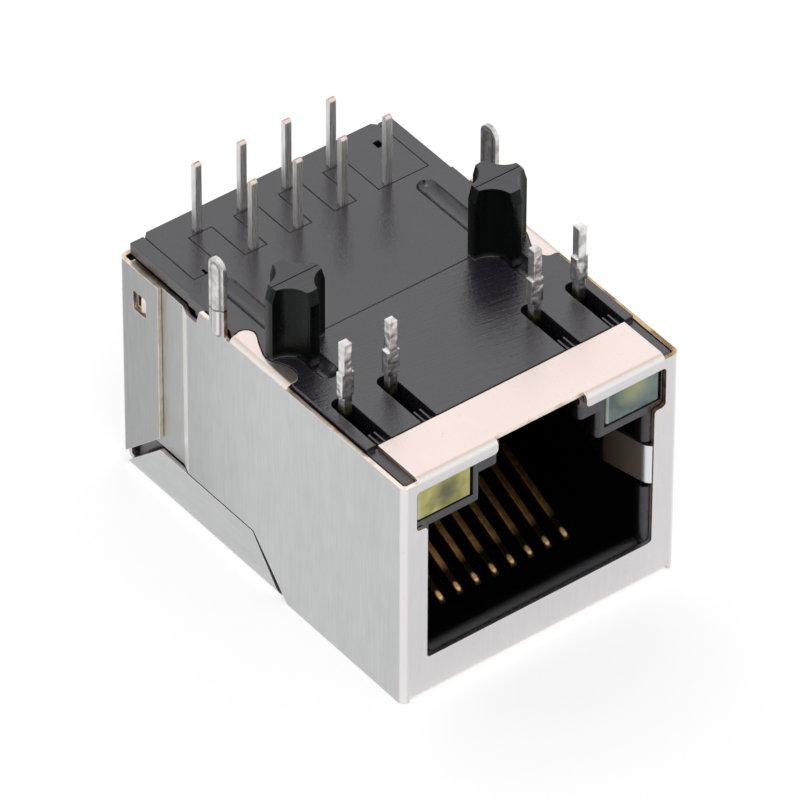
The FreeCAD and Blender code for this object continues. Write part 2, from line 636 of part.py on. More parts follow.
def housing():
    """Main moulding: plug cavity, latch slot, lamp pockets, posts, and the bay for the carrier."""
    body = join([
        box(-HOUSING_HALF, HOUSING_HALF, HOUSING_FRONT, ARM_FRONT, HOUSING_BASE, SEAT),
        box(-ARM_HALF, ARM_HALF, HOUSING_FRONT, HOUSING_REAR, HOUSING_BASE, SEAT),
        box(-LEDGE_HALF, LEDGE_HALF, HOUSING_FRONT, HOUSING_REAR, LEDGE_LOW, SEAT),
        box(-HOUSING_HALF, HOUSING_HALF, HOUSING_FRONT, ARM_FRONT + 0.5, LEDGE_LOW, SEAT),
    ])

    lip_bed = lip_outline(FIT, SHEET_BED, SEAT + 1)
    cuts = [box(-SHIELD_W, SHIELD_W, 0, BAND_REAR + 0.06, SHEET_BED, SEAT + 1)]
    for level, inward in ((HOUSING_BASE, 1), (SHEET_BED, -1)):
        bevel = [
            (HOUSING_FRONT, level),
            (HOUSING_FRONT + FRONT_BEVEL, level),
            (HOUSING_FRONT, level + inward * FRONT_BEVEL),
        ]
        cuts.append(prism("x", bevel, -SHIELD_W, SHIELD_W))
    cuts += pair(lip_bed) + pair(post_groove())
    body = join([body.cut(cuts + [parting_line(SEAT)])] + pair(post()))
    body = body.cut(parting_line(POST_TOP))

    cavity = box(-CAVITY_HALF, CAVITY_HALF, 0, CAVITY_DEPTH, CAVITY_FLOOR, CAVITY_ROOF)
    rounds = [
        round_over("x", HOUSING_FRONT, CAVITY_FLOOR, FLOOR_EDGE_R, 1, -1, -CAVITY_HALF, CAVITY_HALF),
        *pair(round_over("z", CAVITY_HALF, HOUSING_FRONT, WALL_EDGE_R, 1, 1, CAVITY_FLOOR, CAVITY_ROOF)),
        *pair(round_over("z", LATCH_WIDE_HALF, HOUSING_FRONT, SLOT_EDGE_R, 1, 1, CAVITY_ROOF, LATCH_WIDE_TOP)),
        *pair(round_over("z", LATCH_NARROW_HALF, HOUSING_FRONT, SLOT_EDGE_R, 1, 1, LATCH_WIDE_TOP,
                         LATCH_NARROW_TOP)),
    ]
    wide = box(-LATCH_WIDE_HALF, LATCH_WIDE_HALF, 0, LATCH_DEPTH, CAVITY_ROOF - 1, LATCH_WIDE_TOP)
    narrow = box(-LATCH_NARROW_HALF, LATCH_NARROW_HALF, 0, LATCH_DEPTH, CAVITY_ROOF, LATCH_NARROW_TOP)
    under_band = box(-LATCH_NARROW_HALF, LATCH_NARROW_HALF, 0, BAND_REAR - 0.4, CAVITY_ROOF, SEAT + 1)
    spring_bay = box(CAVITY_HALF - 0.5, ARM_HALF - 0.05, 0, SPRING_TIP[1] + 0.4, SPRING_Z[0] - 0.25,
                     SPRING_Z[1] + 0.25)
    comb = box(-CAVITY_HALF, CAVITY_HALF, COMB_FRONT, CAVITY_DEPTH + 0.1, CAVITY_FLOOR - 0.1, COMB_TOP)

    lamp_half = LAMP_W / 2 + LAMP_GAP * 2
    lamp_bay = box(LAMP_X - lamp_half, LAMP_X + lamp_half, 0, LAMP_Y[1] + 0.1, LAMP_Z[0] - LAMP_GAP,
                   LAMP_Z[1] + LAMP_GAP)
    bay_half = CARRIER_HALF + FIT
    bay = box(-bay_half, bay_half, CARRIER_FRONT - FIT, SHIELD_D, CARRIER_BASE - FIT, SEAT + 1)
    channel_half = TONGUE_HALF + FIT
    channel = box(-channel_half, channel_half, NOSE_Y - 0.25, CARRIER_FRONT, CARRIER_BASE - FIT,
                  TONGUE_TOP + 0.36)
    snap_window = box(CARRIER_HALF, HOUSING_HALF, SNAP_Y[0] - 0.1, SNAP_Y[1] + 0.1, SNAP_Z[0] - 0.1,
                      SNAP_Z[1] + 0.1)

    body = body.cut([cavity, wide, narrow, under_band, bay, channel] + rounds
                    + pair(spring_bay) + pair(lamp_bay) + pair(snap_window))
    teeth = []
    slots = []
    for i in range(CONTACTS):
        if i % 2 == 0:
            tip = REAR_ROW - PIN_T / 2 - TOOTH_TIP
            teeth.append(box(PIN_X[i] - TOOTH_HALF, PIN_X[i] + TOOTH_HALF, CARRIER_FRONT - 0.2, tip,
                             RUN_Z + PIN_T / 2 + TOOTH_RISE, SEAT))
        x0 = CONTACT_X[i] - 0.31
        x1 = CONTACT_X[i] + 0.31
        slots.append(box(x0, x1, NOSE_Y - 0.25, COMB_FRONT - 1.5, RUN_Z, CAVITY_FLOOR + 0.1))
        slots.append(box(x0, x1, COMB_FRONT - 0.1, ARM_END + 0.4, CAVITY_FLOOR, COMB_TOP + 0.1))
    body = join([body, comb] + teeth).cut(slots)

    lead_cuts = []
    for x in LEAD_X:
        lead_cuts += lamp_cuts(x)
    return body.cut(lead_cuts + [mirrored(cut) for cut in lead_cuts]).removeSplitter()


def lamp_lead(x):
    """One lead of a lamp: out of its rear, along the trench, and up to the board."""
    half = LEAD_W / 2
    path = [(LAMP_Y[1] - 1.1, LEAD_Z), (LEAD_Y, LEAD_Z), (LEAD_Y, LEAD_TIP)]
    lead = strip("x", path, 0.35, LEAD_T, x - half, x + half)
    bump = box(x - half - LEAD_BUMP, x + half + LEAD_BUMP, LEAD_Y - LEAD_T / 2, LEAD_Y + LEAD_T / 2,
               *LEAD_BUMP_Z)
    return join([pointed(lead, LEAD_TIP, 0.12), bump])


def lamp():
    """Right lamp body with the sockets of its two leads."""
    body = box(LAMP_X - LAMP_W / 2, LAMP_X + LAMP_W / 2, *LAMP_Y, *LAMP_Z)
    body = body.makeFillet(LAMP_EDGE_R, edges_along(body, "y"))
    rim = [e for e in body.Edges if all(abs(v.Y - LAMP_Y[0]) < 1e-6 for v in e.Vertexes)]
    body = body.makeChamfer(0.06, rim)
    return body.cut([lamp_lead(x) for x in LEAD_X])


def save(name, shape):
    """Moves a piece into the frame of the part, checks that it is one solid, and writes it."""
    placed = shape.copy()
    placed.translate(Vector(0, -SHIELD_D / 2, 0))
    solids = placed.Solids
    if len(solids) != 1 or not placed.isValid():
        raise ValueError(f"{name}: {len(solids)} solids, valid {placed.isValid()}")
    solids[0].exportStep(f"parts/{name}.step")
    size = placed.BoundBox
    print(f"{name}: {size.XLength:.2f} x {size.YLength:.2f} x {size.ZLength:.2f} mm, {len(placed.Faces)} faces")


os.makedirs("parts", exist_ok=True)
save("shield", shield())
save("housing", housing())
save("contact_carrier", carrier())
for number in range(CONTACTS):
    save(f"contact_{number + 1}", contact(number))
save("led_green", lamp())
save("led_yellow", mirrored(lamp()))
for label, x in zip(("inner", "outer"), LEAD_X):
    save(f"led_green_lead_{label}", lamp_lead(x))
    save(f"led_yellow_lead_{label}", mirrored(lamp_lead(x)))
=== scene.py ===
# %% [markdown]
# # A shielded board jack
#
# The object is a small jack that is soldered to a circuit board and takes a modular network plug.
# It lies on the cover of its shield, so that its pins, leads and posts point up. The exact solids
# come from CAD. These cells dress them: they give each piece its finish, with the rolled lines,
# scratches and tin that CAD leaves out, and set the light and the camera.

import math

import bmesh
import bpy
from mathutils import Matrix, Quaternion, Vector


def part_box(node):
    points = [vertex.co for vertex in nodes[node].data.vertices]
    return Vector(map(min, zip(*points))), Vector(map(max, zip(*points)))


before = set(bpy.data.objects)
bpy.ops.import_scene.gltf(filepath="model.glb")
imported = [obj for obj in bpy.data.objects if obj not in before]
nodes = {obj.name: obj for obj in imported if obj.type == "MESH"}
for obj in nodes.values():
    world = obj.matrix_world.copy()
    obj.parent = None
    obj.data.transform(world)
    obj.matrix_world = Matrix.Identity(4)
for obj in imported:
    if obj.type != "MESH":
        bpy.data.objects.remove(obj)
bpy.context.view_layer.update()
scene = bpy.context.scene
scene.view_settings.view_transform = "Standard"
print("pieces from CAD:", len(nodes))

# %% [markdown]
# Blender works in metres, and this part is about two centimetres long. One constant turns the
# millimetres that a maker would speak of into metres. The finishes below name their places in
# millimetres too: X to the right of someone who looks into the port, Y from the front to the rear,
# and Z up from the cover that the part lies on. FRONT is the Y of the front face, and SEAT is the Z
# of the board side.

# %% Sizes that the cells below share
MM = 0.001
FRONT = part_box("shield")[0].y / MM
SEAT = 13.05
print("front face at Y", round(FRONT, 3), "mm, board side at Z", SEAT, "mm")

# %% [markdown]
# ## Camera
#
# A small product is photographed from far away with a long lens, which keeps its parallel edges
# almost parallel. The place and the aim below were fitted to the corners of the shield, the pins
# and the posts. The last turn leans the camera by a fifth of a degree, as a hand-set tripod does.

# %% Camera
lens = bpy.data.cameras.new("camera")
lens.lens = 450
lens.sensor_width = 36
lens.clip_start = 0.05
lens.clip_end = 5
camera = bpy.data.objects.new("camera", lens)
scene.collection.objects.link(camera)
scene.camera = camera
camera.location = Vector((-209.635, -271.706, 303.307)) * MM
aim = Vector((-0.780, -1.235, 8.026)) * MM
lean = Quaternion((0, 0, 1), math.radians(0.219))
camera.rotation_mode = "QUATERNION"
camera.rotation_quaternion = (aim - camera.location).to_track_quat("-Z", "Y") @ lean
print("camera is", round((aim - camera.location).length / MM), "mm away")

# %% [markdown]
# ## Shader helpers
#
# A finish here is a tree of nodes, so a few short helpers keep the trees readable. Each of them
# adds one node or a few, fills their inputs with values or with other nodes' outputs, and hands
# back what the next node needs.

# %% Helpers that add nodes
def put(tree, kind, inputs=None, **settings):
    """Adds a node. Each input takes a value or another node's output."""
    node = tree.nodes.new(kind if "Node" in kind else "ShaderNode" + kind)
    for name, value in settings.items():
        setattr(node, name, value)
    for key, value in (inputs or {}).items():
        if isinstance(value, bpy.types.NodeSocket):
            tree.links.new(value, node.inputs[key])
        else:
            node.inputs[key].default_value = value
    return node


def calc(tree, operation, *terms):
    """One step of arithmetic."""
    return put(tree, "Math", dict(enumerate(terms)), operation=operation).outputs[0]


def rescale(tree, value, low, high, to_low=0.0, to_high=1.0, shape="LINEAR"):
    """Maps a range of values to another one, and holds it at the ends."""
    inputs = {0: value, 1: low, 2: high, 3: to_low, 4: to_high}
    return put(tree, "MapRange", inputs, interpolation_type=shape).outputs[0]


def weighed(tree, *pairs, start=0.0):
    """Adds values up, each of them times its own share."""
    total = start
    for value, share in pairs:
        total = calc(tree, "MULTIPLY_ADD", value, share, total)
    return total


print("helpers for arithmetic")

# %% [markdown]
# A mask is a value that is 1 on the part of a piece that gets a finish and 0 elsewhere. Masks are
# made from places and directions, so they stay on the piece when the camera moves.

# %% Helpers for masks
def both(tree, first, *others):
    """1 where every mask is 1."""
    for other in others:
        first = calc(tree, "MULTIPLY", first, other)
    return first


def either(tree, first, second):
    """1 where one of two masks is 1."""
    return calc(tree, "MAXIMUM", first, second)


def without(tree, mask, hole):
    """A mask with another one cut out of it."""
    return both(tree, mask, calc(tree, "SUBTRACT", 1.0, hole))


def between(tree, value, low, high, soft):
    """1 between two limits and 0 outside them, with soft ends inside the limits."""
    rise = rescale(tree, value, low, low + soft)
    fall = rescale(tree, value, high - soft, high, 1.0, 0.0)
    return both(tree, rise, fall)


print("helpers for masks")

# %% [markdown]
# A finish also needs to know where it is. The object coordinates don't change when a piece moves,
# and in millimetres they can be read off a drawing. The direction that a face looks in tells a wall
# from a level face, and a flat face from a fold.

# %% Helpers for places and directions
def millimetres(tree):
    """The point on the piece, in millimetres, as a vector."""
    point = put(tree, "TexCoord").outputs["Object"]
    return put(tree, "VectorMath", {0: point, 3: 1 / MM}, operation="SCALE").outputs[0]


def axes(tree, vector):
    """The X, Y and Z of a vector."""
    return tuple(put(tree, "SeparateXYZ", {0: vector}).outputs)


def facing(tree):
    """How squarely a face looks along X, Y and Z: 1 straight along the axis, 0 across it."""
    normal = put(tree, "TexCoord").outputs["Normal"]
    return axes(tree, put(tree, "VectorMath", {0: normal}, operation="ABSOLUTE").outputs[0])


def length(tree, vector):
    """The length of a vector."""
    return put(tree, "VectorMath", {0: vector}, operation="LENGTH").outputs["Value"]


print("helpers for places and directions")

# %% [markdown]
# Most finishes here go from a dark tone to a light one, driven by a mask or by noise. Noise mostly
# keeps to the middle of its range, so the helper spreads that middle over the whole of 0 to 1.

# %% Helpers for noise and colours
def noise(tree, vector, scale, detail, low=0.3, high=0.7):
    """Noise, with a range of its values spread over 0 to 1."""
    waves = put(tree, "TexNoise", {"Vector": vector, "Scale": scale, "Detail": detail})
    return rescale(tree, waves.outputs[0], low, high)


def rgb(red, green, blue):
    return (red, green, blue, 1.0)


def grey(level):
    return rgb(level, level, level)


def blend(tree, factor, first, second, share=1.0):
    """Goes from the first colour to the second as the factor goes from 0 to 1, up to a share."""
    if share < 1.0:
        factor = calc(tree, "MULTIPLY", factor, share)
    mix = put(tree, "Mix", {0: factor, 6: first, 7: second}, data_type="RGBA")
    return mix.outputs[2]


print("helpers for noise and colours")

# %% [markdown]
# Some effects are needed by more than one finish. Each of these is built once, as a node group
# with named inputs and outputs, and every material that places it sets its own values.

# %% Helpers that start and place a node group
def start_group(name, inputs, outputs):
    """An empty node group with float inputs and outputs, and its two end nodes."""
    tree = bpy.data.node_groups.new(name, "ShaderNodeTree")
    for label, value in inputs.items():
        socket = tree.interface.new_socket(label, in_out="INPUT", socket_type="NodeSocketFloat")
        socket.default_value = value
    for label in outputs:
        tree.interface.new_socket(label, in_out="OUTPUT", socket_type="NodeSocketFloat")
    given = tree.nodes.new("NodeGroupInput").outputs
    result = tree.nodes.new("NodeGroupOutput").inputs
    return tree, given, result


def use(tree, group, **values):
    """Places a node group. Underscores in the names of its inputs stand for spaces."""
    inputs = {name.replace("_", " ").capitalize(): value for name, value in values.items()}
    return put(tree, "Group", inputs, node_tree=group).outputs


print("helpers for node groups")

# %% [markdown]
# Rolled sheet carries fine lines along the way it went through the mill. In this shield they run
# up the front and the side walls, and front to back on the band and the cover, because those were
# one flat strip before the folding. So the group looks at which way a face points, and stretches
# its noise along Z on an upright face and along Y on a level one. Where Turned is 1, it takes an
# upright face as a level one: the cover's flanges were folded up with the cover's lines on them.

# %% Group: lines of the rolled sheet
sheet_lines, given, result = start_group(
    "sheet lines", {"Width": 0.05, "Length": 3.0, "Turned": 0.0}, ["Lines", "Level"])
level = rescale(sheet_lines, facing(sheet_lines)[2], 0.45, 0.75)
across = calc(sheet_lines, "DIVIDE", 1.0, given["Width"])
along = calc(sheet_lines, "DIVIDE", 1.0, given["Length"])
lying = either(sheet_lines, level, given["Turned"])
swapped = both(sheet_lines, calc(sheet_lines, "SUBTRACT", across, along), lying)
scales = put(sheet_lines, "CombineXYZ", {
    0: across,
    1: calc(sheet_lines, "SUBTRACT", across, swapped),
    2: calc(sheet_lines, "ADD", along, swapped),
}).outputs[0]
drawn_out = put(sheet_lines, "VectorMath", {0: millimetres(sheet_lines), 1: scales},
                operation="MULTIPLY").outputs[0]
sheet_lines.links.new(noise(sheet_lines, drawn_out, 1.0, 3.0), result["Lines"])
sheet_lines.links.new(level, result["Level"])
print("built", sheet_lines.name)

# %% [markdown]
# Nothing real is one even tone. This group gives soft clouds of a chosen size, and sparse specks
# such as dust, pits or grains of filler in a moulding. The specks sit in cells twice their size,
# and the share says how many of the cells hold one.

# %% Group: clouds and specks
clouds_specks, given, result = start_group(
    "clouds and specks", {"Cloud size": 3.0, "Speck size": 0.12, "Speck share": 0.3},
    ["Clouds", "Specks"])
place = millimetres(clouds_specks)
cloud_scale = calc(clouds_specks, "DIVIDE", 1.0, given["Cloud size"])
cell_scale = calc(clouds_specks, "DIVIDE", 0.5, given["Speck size"])
cells = put(clouds_specks, "TexVoronoi", {"Vector": place, "Scale": cell_scale}).outputs
near_middle = rescale(clouds_specks, cells["Distance"], 0.15, 0.30, 1.0, 0.0)
pick = put(clouds_specks, "SeparateColor", {0: cells["Color"]}).outputs[0]
chosen = calc(clouds_specks, "LESS_THAN", pick, given["Speck share"])
clouds_specks.links.new(noise(clouds_specks, place, cloud_scale, 4.0), result["Clouds"])
clouds_specks.links.new(both(clouds_specks, near_middle, chosen), result["Specks"])
print("built", clouds_specks.name)

# %% [markdown]
# Every finish here is one Principled shader, whose inputs the nodes feed. The CAD nodes keep their
# meshes as they are, so a finish is put on them by filling their material slots alone.

# %% Helpers that start a material and put it on a piece
def start_material(name):
    """An empty node material with a Principled shader on its output."""
    material = bpy.data.materials.new(name)
    material.use_nodes = True
    tree = material.node_tree
    tree.nodes.clear()
    shader = put(tree, "BsdfPrincipled")
    put(tree, "OutputMaterial", {"Surface": shader.outputs[0]})
    return material, tree, shader


def dress(piece, material):
    """Gives a piece one material."""
    piece.data.materials.clear()
    piece.data.materials.append(material)


print("helpers for materials")

# %% [markdown]
# A real edge is never perfectly sharp. So each shader of the part takes its normal from a Bevel
# node, which lets even an edge narrower than a pixel catch the light. The same node finds the sharp
# edges, where the rounded normal leaves the true one, and some finishes paint a highlight there.

# %% Helpers for edges and relief
def rounded_normal(tree, radius):
    """The normal that the surface would have with its edges rounded."""
    return put(tree, "Bevel", {"Radius": radius * MM}, samples=6).outputs[0]


def edge_highlight_mask(tree, radius):
    """1 along the sharp edges of a piece, 0 on its faces."""
    true = put(tree, "NewGeometry").outputs["Normal"]
    match = put(tree, "VectorMath", {0: rounded_normal(tree, radius), 1: true},
                operation="DOT_PRODUCT")
    return rescale(tree, match.outputs["Value"], 0.93, 0.80)


def finish_shader(tree, shader, colour, roughness=None, height=None, depth=0.01, edge=0.03):
    """Joins colour, roughness and relief to the shader, and rounds the edges."""
    tree.links.new(colour, shader.inputs["Base Color"])
    if roughness is not None:
        tree.links.new(roughness, shader.inputs["Roughness"])
    normal = rounded_normal(tree, edge)
    if height is not None:
        normal = put(tree, "Bump", {"Height": height, "Strength": 1.0, "Distance": depth * MM,
                                    "Normal": normal}).outputs[0]
    tree.links.new(normal, shader.inputs["Normal"])


print("helpers for edges and relief")

# %% [markdown]
# ## Shield
#
# The sheet was plated before it was stamped, so its broad faces are silver and its cut edges show
# the copper alloy inside. To tell the two apart, a small geometry tree shoots a ray from each face
# into the metal. If the ray leaves the metal again within little more than a sheet's thickness, the
# face is a broad one. If not, it is a cut edge. The answer is kept as an attribute that the material
# reads.

# %% Mark the cut edges of the sheet
SHEET = 0.22 * MM
marker = bpy.data.node_groups.new("mark cut edges", "GeometryNodeTree")
for way in ("INPUT", "OUTPUT"):
    marker.interface.new_socket("Geometry", in_out=way, socket_type="NodeSocketGeometry")
metal = put(marker, "NodeGroupInput").outputs[0]
position = put(marker, "GeometryNodeInputPosition").outputs[0]
outward = put(marker, "GeometryNodeInputNormal").outputs[0]
inward = put(marker, "VectorMath", {0: outward, 3: -1.0}, operation="SCALE").outputs[0]
just_inside = put(marker, "VectorMath", {0: inward, 1: (0.02 * SHEET,) * 3, 2: position},
                  operation="MULTIPLY_ADD").outputs[0]
ray = put(marker, "GeometryNodeRaycast", {
    "Target Geometry": metal,
    "Source Position": just_inside,
    "Ray Direction": inward,
    "Ray Length": 1.3 * SHEET,
})
missed = calc(marker, "SUBTRACT", 1.0, ray.outputs["Is Hit"])
keep = put(marker, "GeometryNodeStoreNamedAttribute", {"Geometry": metal, "Name": "cut_edge"},
           data_type="FLOAT", domain="FACE")
marker.links.new(missed, keep.inputs["Value"])
put(marker, "NodeGroupOutput", {0: keep.outputs[0]})
nodes["shield"].modifiers.new("mark cut edges", "NODES").node_group = marker
print("marked the cut edges of the shield")

# %% [markdown]
# A solder tab is too narrow to stay stiff by itself, so the press pushes a bead into it. The bead's
# crown catches light, and its outline gets a painted dark line of shade. This group measures how far
# a point is from a straight bead with round ends, across and along, and gives the bead's body and its
# outline.

# %% Group: pressed bead
bead, given, result = start_group(
    "pressed bead",
    {"Across": 0.0, "Along": 0.0, "Low end": 0.0, "High end": 1.0, "Half width": 0.3},
    ["Body", "Outline"])
nearest = put(bead, "Clamp", {0: given["Along"], 1: given["Low end"], 2: given["High end"]})
past_end = calc(bead, "SUBTRACT", given["Along"], nearest.outputs[0])
offset = put(bead, "CombineXYZ", {0: given["Across"], 1: past_end, 2: 0.0}).outputs[0]
rim = calc(bead, "SUBTRACT", length(bead, offset), given["Half width"])
near_rim = rescale(bead, calc(bead, "ABSOLUTE", rim), 0.02, 0.08, 1.0, 0.0)
bead.links.new(rescale(bead, rim, 0.05, -0.12), result["Body"])
bead.links.new(near_rim, result["Outline"])
print("built", bead.name)

# %% [markdown]
# The cover has a flange along each side, folded up below the side walls, with a slanted end at the
# front and another below the flap of the rear wall. The flanges lie in one plane with the walls, but
# they are cover metal, so they need a mask of their own. Two slanted lines and the slit above them
# bound it. The lines of the rolled sheet are drawn twice, as fine scratches and as broad bands.

# %% Material: plated sheet, its grain
FLANGE_TOP = 2.65
FLANGE_FRONT, FRONT_SLANT = FRONT + 9.10, 0.81
FLANGE_REAR, REAR_SLANT = FRONT + 21.30, 1.05
plated, tree, shader = start_material("plated_sheet")
x, y, z = axes(tree, millimetres(tree))
sideways = calc(tree, "ABSOLUTE", x)
to_side, to_front, to_top = facing(tree)
from_front_end = weighed(tree, (z, -FRONT_SLANT), start=y)
from_rear_end = weighed(tree, (z, REAR_SLANT), start=y)
behind_front_end = calc(tree, "GREATER_THAN", from_front_end, FLANGE_FRONT)
ahead_of_rear_end = calc(tree, "LESS_THAN", from_rear_end, FLANGE_REAR)
below_slit = calc(tree, "LESS_THAN", z, FLANGE_TOP)
on_flange = both(tree, below_slit, behind_front_end, ahead_of_rear_end)
lines = use(tree, sheet_lines, width=0.045, length=1.7, turned=on_flange)
bands = use(tree, sheet_lines, width=0.45, length=9.0, turned=on_flange)
spots = use(tree, clouds_specks, cloud_size=1.3, speck_size=0.07, speck_share=0.05)
grain = weighed(tree, (bands["Lines"], 0.13), (spots["Clouds"], 0.22), (lines["Lines"], 0.65))
print("grain of the plated sheet")

# %% [markdown]
# The plating is a soft silver. Each face gets tones of painted light by the way it looks: the level
# faces get a warm, nearly pink painted reflection, the front face is painted lighter and leans a
# little to lilac, and the side walls get painted shade that deepens towards the rear, while the
# flanges are painted as light as the front. Each face has a dark and a light tone, and the grain goes
# from the one to the other.

# %% Material: plated sheet, tones of its faces
WALL_SHADED_AT, WALL_LIT_AT = FRONT + 21.1, FRONT + 9.1
shaded_rear_wall = rgb(0.315, 0.320, 0.315), rgb(0.425, 0.435, 0.430)
lit_near_wall = rgb(0.520, 0.525, 0.525), rgb(0.645, 0.650, 0.650)
lit_front_face = rgb(0.690, 0.665, 0.675), rgb(0.760, 0.735, 0.750)
warm_level_reflection = rgb(0.825, 0.700, 0.660), rgb(0.880, 0.755, 0.715)
# Painted light and shade: the side walls darken towards the rear, and the flanges, the front face and
# the level faces get lighter tones.
lit_towards_front = rescale(tree, y, WALL_SHADED_AT, WALL_LIT_AT, shape="SMOOTHSTEP")
lit_towards_front = either(tree, lit_towards_front, calc(tree, "MULTIPLY", on_flange, 0.95))
wall = blend(tree, lit_towards_front, blend(tree, grain, *shaded_rear_wall), blend(tree, grain, *lit_near_wall))
lit_front_mask = rescale(tree, to_front, 0.5, 0.9)
silver = blend(tree, lit_front_mask, wall, blend(tree, grain, *lit_front_face))
silver = blend(tree, lines["Level"], silver, blend(tree, grain, *warm_level_reflection))
print("tones of the plated sheet")

# %% [markdown]
# A fold gets a painted highlight, brighter than the flat sheet. A fold is found by its direction,
# since it looks along no axis squarely. Folds at the front and at the top get a warm painted
# reflection where they roll over towards the level faces, and the rest stay a cool white highlight.

# %% Material: plated sheet, its folds
BAND_FOLD_Z = 12.3
widest = either(tree, either(tree, to_side, to_front), to_top)
# Painted highlight along the folds.
fold_highlight = rescale(tree, widest, 0.996, 0.93)
at_front = rescale(tree, y, FRONT + 0.7, FRONT + 0.3)
at_top = rescale(tree, z, BAND_FOLD_Z, BAND_FOLD_Z + 0.2)
rolled_over_reflection = blend(tree, rescale(tree, to_top, 0.93, 0.60),
                    rgb(0.70, 0.60, 0.52), rgb(0.86, 0.83, 0.82))
fold_highlight_tone = blend(tree, either(tree, at_front, at_top), rgb(0.95, 0.95, 0.96), rolled_over_reflection)
silver = blend(tree, fold_highlight, silver, fold_highlight_tone)
silver = blend(tree, spots["Specks"], silver, rgb(0.30, 0.29, 0.28), share=0.30)
print("folds of the plated sheet")

# %% [markdown]
# The cut edges are where the geometry tree marked them, but not all marks are true. At the ground
# springs in the port and at the steps in the side walls the sheet is bent so tightly that the ray
# misses, so two boxes take those places out.

# %% Material: plated sheet, where its cut edges are
INNER_WALL = 7.0
SPRING_Y = (FRONT + 0.03, FRONT + 5.60)
SPRING_Z = (5.60, 7.90)
STEP_Y = (FRONT + 15.5, FRONT + 16.8)
STEP_Z = (2.8, 12.3)
in_port = both(tree, between(tree, y, *SPRING_Y, 0.01), between(tree, z, *SPRING_Z, 0.01),
               calc(tree, "LESS_THAN", sideways, INNER_WALL))
on_step = both(tree, between(tree, y, *STEP_Y, 0.01), between(tree, z, *STEP_Z, 0.01),
               calc(tree, "GREATER_THAN", sideways, INNER_WALL))
cut = put(tree, "Attribute", attribute_name="cut_edge").outputs["Fac"]
cut = without(tree, cut, either(tree, in_port, on_step))
print("cut edges of the plated sheet")

# %% [markdown]
# The metal inside is copper and brass under a pink shine, smeared in places by the punch. It looks
# golden on the right side and grey near the cover. The front edges of the flaps are painted pale, a
# painted reflection of the floor in front, and a bright rim beside each edge is a painted highlight.

# %% Material: plated sheet, the alloy of its cut edges
GOLDEN_X = (6.0, 7.0)
GREY_Z = (3.6, 3.4)
FLAP_EDGE_Y = (FRONT + 17.9, FRONT + 18.5)
smear = use(tree, clouds_specks, cloud_size=0.9, speck_size=0.05, speck_share=0.2)["Clouds"]
smear = rescale(tree, smear, 0.10, 0.55)
pink = blend(tree, smear, rgb(0.58, 0.42, 0.30), rgb(0.92, 0.79, 0.70))
golden = blend(tree, smear, rgb(0.24, 0.15, 0.07), rgb(0.60, 0.41, 0.22))
# Painted reflection: the flaps' front edges are pale.
pale = blend(tree, smear, rgb(0.88, 0.74, 0.54), rgb(1.0, 0.95, 0.86))
alloy = blend(tree, rescale(tree, x, *GOLDEN_X), pink, golden)
alloy = blend(tree, rescale(tree, z, *GREY_Z), alloy, rgb(0.66, 0.64, 0.63))
alloy = blend(tree, between(tree, y, *FLAP_EDGE_Y, 0.05), alloy, pale)
colour = blend(tree, cut, silver, alloy)
# Painted highlight: a bright rim beside each edge.
rim_light = without(tree, edge_highlight_mask(tree, 0.07), cut)
colour = blend(tree, rim_light, colour, rgb(0.96, 0.93, 0.90), share=0.9)
print("alloy of the cut edges")

# %% [markdown]
# The ground springs curl back from the front face into the port, where they press on the shield of
# a plug. Their fronts catch the light, and further in they see only the dark port.

# %% Material: plated sheet, its ground springs
SPRING_LIT_Y, SPRING_DARK_Y = FRONT + 0.5, FRONT + 2.8
spring_tone = blend(tree, rescale(tree, y, SPRING_LIT_Y, SPRING_DARK_Y),
                    rgb(0.84, 0.86, 0.88), rgb(0.13, 0.155, 0.185))
colour = blend(tree, in_port, colour, spring_tone)
print("ground springs of the plated sheet")

# %% [markdown]
# Each solder tab was dipped in tin down to a slightly slanted line near its root. The tin is whiter
# and rougher than the walls, and mottled, so it gets clouds of its own in colour and in relief. The
# bead runs up the middle of the tab.

# %% Material: plated sheet, its solder tabs
OUTER_WALL = 7.3
TAB_Y, TAB_HALF = FRONT + 13.75, 0.6
TIN_Z, TIN_SLANT = SEAT + 0.99, 0.35
BEAD_Z, BEAD_HALF = (12.86, 16.40), 0.32
from_middle = calc(tree, "SUBTRACT", y, TAB_Y)
on_tab = both(tree, calc(tree, "GREATER_THAN", sideways, OUTER_WALL),
              between(tree, from_middle, -TAB_HALF, TAB_HALF, 0.02))
tin_line = weighed(tree, (from_middle, TIN_SLANT), start=z)
dipped = both(tree, on_tab, rescale(tree, tin_line, TIN_Z, TIN_Z + 0.04))
seam = both(tree, on_tab, between(tree, tin_line, TIN_Z - 0.06, TIN_Z + 0.08, 0.05))
mottle = use(tree, clouds_specks, cloud_size=0.40, speck_size=0.05, speck_share=0.2)["Clouds"]
colour = blend(tree, dipped, colour, blend(tree, mottle, grey(0.36), grey(0.88)), share=0.8)
pressed = use(tree, bead, across=from_middle, along=z, low_end=BEAD_Z[0], high_end=BEAD_Z[1],
              half_width=BEAD_HALF)
# Painted shade: a dark line along the bead's outline and the tin's edge.
bead_outline_shade = both(tree, pressed["Outline"], on_tab, 0.75)
colour = blend(tree, either(tree, bead_outline_shade, seam), colour, rgb(0.14, 0.13, 0.12))
print("solder tabs of the plated sheet")

# %% [markdown]
# The lines also spread the shine and stand in relief, the broad bands more than the fine lines. The
# crown of a bead stands out by the full depth, and the mottled tin by a quarter of it.

